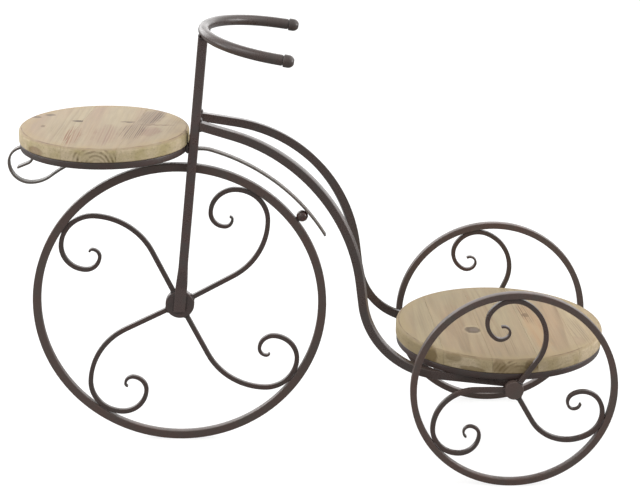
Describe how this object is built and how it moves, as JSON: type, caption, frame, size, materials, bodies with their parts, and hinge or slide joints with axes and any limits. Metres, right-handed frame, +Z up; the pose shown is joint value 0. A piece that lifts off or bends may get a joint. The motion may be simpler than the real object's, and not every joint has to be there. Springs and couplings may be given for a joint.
{
  "type": "plant_stand",
  "caption": "Tricycle-shaped plant stand: a scroll-spoked front wheel with handlebar and fender, splayed frame tubes, a pair of rear wheels and two round wooden shelves for pots",
  "frame": {"origin": "middle of the bounding box on the floor the wheels stand on", "axes": "+X runs from the front wheel to the rear wheels, along the stand's length; +Y is the side away from the picture's camera (the nodes called right); +Z is up"},
  "size_m": [0.7066, 0.2632, 0.5161],
  "materials": {
    "brown_paint": "satin",
    "wood_front": "matte",
    "wood_rear": "matte",
    "screw_steel": "satin"
  },
  "bodies": {
    "frame": {"axle_sleeve": "brown_paint", "frame_tube_left": "brown_paint", "frame_tube_right": "brown_paint", "fork_leg_left": "brown_paint", "fork_leg_right": "brown_paint", "handlebar": "brown_paint", "handlebar_caps": "brown_paint", "front_rim": "brown_paint", "front_hub": "brown_paint", "front_spokes": "brown_paint", "fender_strip": "brown_paint", "fender_ball": "brown_paint", "front_ring": "brown_paint", "front_ring_lugs": "brown_paint", "front_ring_tabs": "brown_paint", "front_shelf_screws": "screw_steel", "front_board_1": "wood_front", "front_board_2": "wood_front", "front_board_3": "wood_front", "rear_ring": "brown_paint", "rear_ring_tabs": "brown_paint", "rear_shelf_screws": "screw_steel", "rear_board_1": "wood_rear", "rear_board_2": "wood_rear", "rear_board_3": "wood_rear", "rear_board_4": "wood_rear", "rear_board_5": "wood_rear"},
    "rear_wheelset": {"rear_axle": "brown_paint", "rear_rim_left": "brown_paint", "rear_rim_right": "brown_paint", "rear_hub_left": "brown_paint", "rear_hub_right": "brown_paint", "rear_spokes_left": "brown_paint", "rear_spokes_right": "brown_paint"}
  },
  "joints": [
    {"name": "rear_wheels_roll", "type": "hinge", "parent": "frame", "child": "rear_wheelset", "pos_m": [0.23377, 0, 0.1195], "axis": [0, 1, 0], "continuous": true}
  ]
}
